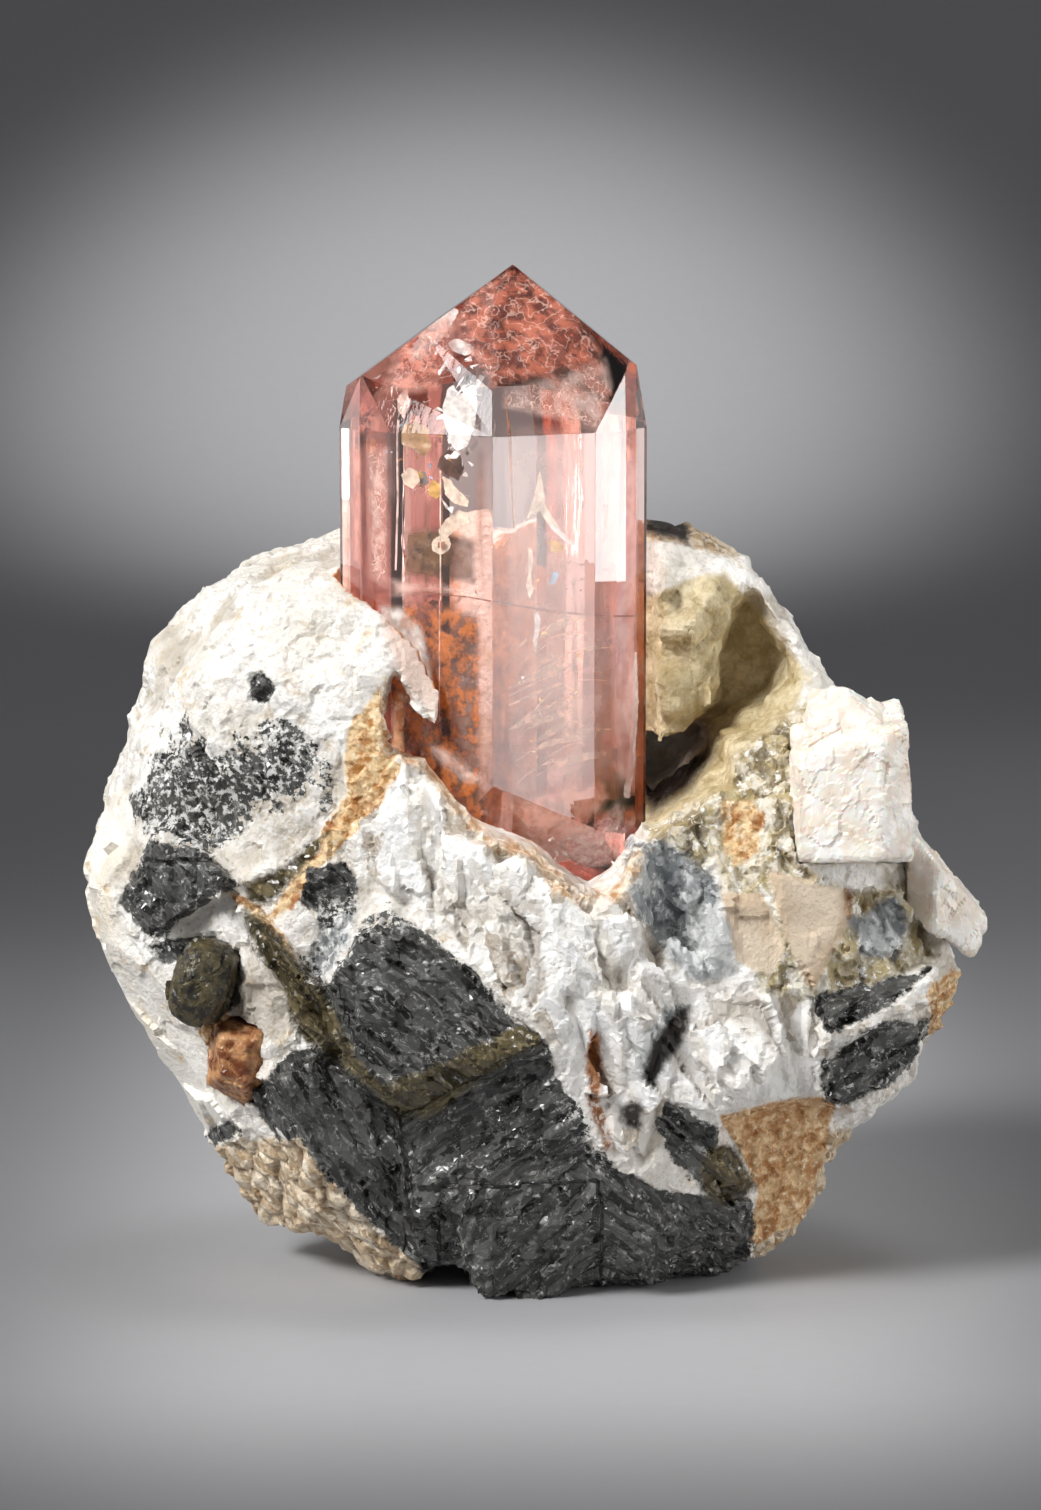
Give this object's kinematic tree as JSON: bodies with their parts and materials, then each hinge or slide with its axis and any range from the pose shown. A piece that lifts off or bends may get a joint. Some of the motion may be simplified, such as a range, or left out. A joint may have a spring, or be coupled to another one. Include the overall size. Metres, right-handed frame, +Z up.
{
  "type": "topaz crystal on matrix",
  "caption": "Cabinet mineral specimen: a clear pink topaz prism with a pointed end, standing in a broken lump of white quartz and black mica rock with a small grotto.",
  "frame": {"origin": "centre of the specimen's box, on the surface that it rests on", "axes": "+Z up along the topaz, +X to the right as shown, +Y away from the side that is shown"},
  "size_m": [0.0599, 0.0402, 0.067],
  "materials": {
    "topaz": "gloss",
    "matrix_rock": "rough",
    "pale_quartz": "satin",
    "amber_quartz": "satin",
    "dark_mica": "satin"
  },
  "bodies": {
    "root": {"topaz_crystal": "topaz", "matrix": "matrix_rock", "quartz_block_crystal": "pale_quartz", "quartz_edge_crystal": "pale_quartz", "amber_crystal": "amber_quartz", "mica_knob": "dark_mica"}
  },
  "joints": []
}
